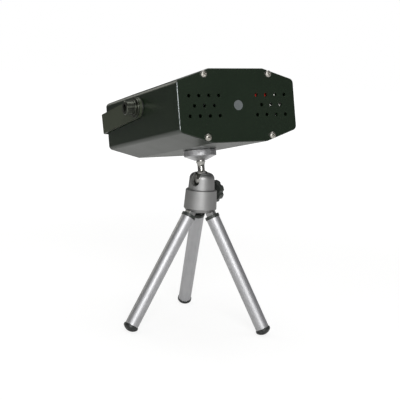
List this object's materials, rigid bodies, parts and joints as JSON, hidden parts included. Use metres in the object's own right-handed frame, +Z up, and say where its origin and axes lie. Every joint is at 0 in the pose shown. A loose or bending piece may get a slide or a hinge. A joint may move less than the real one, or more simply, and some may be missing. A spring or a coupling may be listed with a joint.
{
  "type": "laser show projector",
  "caption": "Small projector of moving laser beams in an eight-sided metal housing, hung in a swinging yoke on a ball-headed pocket tripod.",
  "frame": {"origin": "on the floor, under the middle of the whole object's box", "axes": "+Z up; the beam leaves the front along -Y, a little upwards; +X is to the right of someone who faces the front"},
  "size_m": [0.1156, 0.137, 0.1934],
  "materials": {
    "housing_enamel": "satin black-green enamel on extruded aluminium",
    "yoke_enamel": "satin black-green enamel on steel strip",
    "screw_nickel": "bright nickel plate",
    "screw_black": "black oxide",
    "spacer_nylon": "black nylon",
    "aperture_glass": "clear, slightly frosted",
    "zinc_steel": "zinc plate",
    "stud_chrome": "bright chrome plate",
    "disc_aluminium": "bright turned",
    "stand_aluminium": "satin silver-grey anodised",
    "tube_aluminium": "satin silver drawn tube",
    "block_aluminium": "milled",
    "module_brass": "turned",
    "lens_glass": "clear",
    "mirror_glass": "front-silvered",
    "grating_plastic": "clear ruled plastic",
    "motor_steel": "plated can",
    "board_laminate": "pale green board",
    "capacitor_red": "red dipped case",
    "connector_white": "white moulded",
    "coil_copper": "varnished copper winding",
    "black_plastic": "black moulded",
    "rocker_plastic": "glossy black",
    "foot_rubber": "black rubber"
  },
  "bodies": {
    "stand": {"tripod_hub": "stand_aluminium", "socket_dome": "stand_aluminium", "pin_plate": "block_aluminium", "pin_plate_screw": "zinc_steel", "leg_pins": "zinc_steel"},
    "head": {"housing_tube": "housing_enamel", "front_panel": "housing_enamel", "rear_panel": "housing_enamel", "panel_screws": "screw_nickel", "aperture_window": "aperture_glass", "tripod_insert": "zinc_steel", "pivot_bolts": "screw_black", "pivot_spring_washers": "screw_black", "pivot_washers": "screw_black", "pivot_nuts": "zinc_steel", "yoke_spacers": "spacer_nylon", "laser_block": "block_aluminium", "laser_modules": "module_brass", "laser_lenses": "lens_glass", "mirror_bracket": "block_aluminium", "turning_mirror": "mirror_glass", "beam_combiner": "lens_glass", "motor_bracket": "block_aluminium", "grating_motor": "motor_steel", "driver_board": "board_laminate", "board_capacitor": "capacitor_red", "board_connector": "connector_white", "board_coils": "coil_copper", "fan_frame": "spacer_nylon", "fan_screws": "screw_black", "supply_socket": "black_plastic", "supply_pin": "motor_steel", "power_switch": "black_plastic", "mode_switch": "black_plastic", "speed_control": "motor_steel", "microphone": "motor_steel"},
    "lock_disc": {"lock_disc": "disc_aluminium"},
    "yoke": {"yoke": "yoke_enamel"},
    "clamp_knob": {"clamp_knob": "black_plastic", "clamp_screw": "zinc_steel"},
    "ball_seat": {"ball_seat": "black_plastic"},
    "ball_stud": {"ball_stud": "stud_chrome"},
    "fan_rotor": {"fan_rotor": "spacer_nylon"},
    "grating_wheel": {"grating_wheel": "grating_plastic"},
    "power_rocker": {"power_rocker": "rocker_plastic"},
    "mode_button": {"mode_button": "rocker_plastic"},
    "speed_knob": {"speed_knob": "black_plastic", "speed_shaft": "motor_steel"},
    "rear_leg": {"rear_leg_eye": "stand_aluminium", "rear_leg_collar": "black_plastic", "rear_leg_tube": "tube_aluminium", "rear_leg_foot": "foot_rubber"},
    "left_leg": {"left_leg_eye": "stand_aluminium", "left_leg_collar": "black_plastic", "left_leg_tube": "tube_aluminium", "left_leg_foot": "foot_rubber"},
    "right_leg": {"right_leg_eye": "stand_aluminium", "right_leg_collar": "black_plastic", "right_leg_tube": "tube_aluminium", "right_leg_foot": "foot_rubber"}
  },
  "joints": [
    {"name": "rear_leg_fold", "type": "hinge", "parent": "stand", "child": "rear_leg", "pos_m": [0.00486, -0.00584, 0.08884], "axis": [-0.9373, 0.3486, 0], "range_deg": [0, 29.25]},
    {"name": "left_leg_fold", "type": "hinge", "parent": "stand", "child": "left_leg", "pos_m": [-0.00368, -0.01291, 0.08884], "axis": [0.1668, -0.986, 0], "range_deg": [0, 29.25]},
    {"name": "right_leg_fold", "type": "hinge", "parent": "stand", "child": "right_leg", "pos_m": [0.00671, -0.01677, 0.08884], "axis": [0.7705, 0.6374, 0], "range_deg": [0, 29.25]},
    {"name": "ball_swivel", "type": "hinge", "parent": "stand", "child": "ball_seat", "pos_m": [0.00263, -0.01184, 0.10964], "axis": [0, 0, 1], "continuous": true},
    {"name": "ball_tilt", "type": "hinge", "parent": "ball_seat", "child": "ball_stud", "pos_m": [0.00263, -0.01184, 0.10964], "axis": [0.9728, 0.2317, 0], "range_deg": [-12.9, 37.1]},
    {"name": "head_turn", "type": "hinge", "parent": "ball_stud", "child": "head", "pos_m": [0.00263, -0.01184, 0.10964], "axis": [-0.0486, 0.2039, 0.9778], "range_deg": [-180, 180]},
    {"name": "lock_disc_turn", "type": "hinge", "parent": "ball_stud", "child": "lock_disc", "pos_m": [0.00159, -0.00748, 0.13057], "axis": [-0.0486, 0.2039, 0.9778], "range_deg": [-140, 0]},
    {"name": "yoke_swing", "type": "hinge", "parent": "head", "child": "yoke", "pos_m": [0.00003, 0.00009, 0.16195], "axis": [0.9988, 0.005, 0.0486], "range_deg": [-3, 194]},
    {"name": "clamp_knob_turn", "type": "hinge", "parent": "stand", "child": "clamp_knob", "pos_m": [0.00263, -0.01184, 0.09904], "axis": [0.866, 0.5, 0], "range_deg": [0, 540]},
    {"name": "fan_spin", "type": "hinge", "parent": "head", "child": "fan_rotor", "pos_m": [-0.0214, 0.0575, 0.1438], "axis": [0.005, 0.979, -0.2039], "continuous": true},
    {"name": "grating_spin", "type": "hinge", "parent": "head", "child": "grating_wheel", "pos_m": [-0.00848, -0.05112, 0.16504], "axis": [0.005, 0.979, -0.2039], "continuous": true},
    {"name": "power_rocker_tip", "type": "hinge", "parent": "head", "child": "power_rocker", "pos_m": [0.01378, 0.0564, 0.12859], "axis": [-0.0486, 0.2039, 0.9778], "range_deg": [-16, 0]},
    {"name": "speed_knob_turn", "type": "hinge", "parent": "head", "child": "speed_knob", "pos_m": [0.03249, 0.05678, 0.13087], "axis": [0.005, 0.979, -0.2039], "range_deg": [-150, 150]},
    {"name": "mode_button_press", "type": "slide", "parent": "head", "child": "mode_button", "axis": [-0.005, -0.979, 0.2039], "range_m": [0, 0.0006], "stiffness_N_per_m": 400, "springref_m": -0.002}
  ]
}
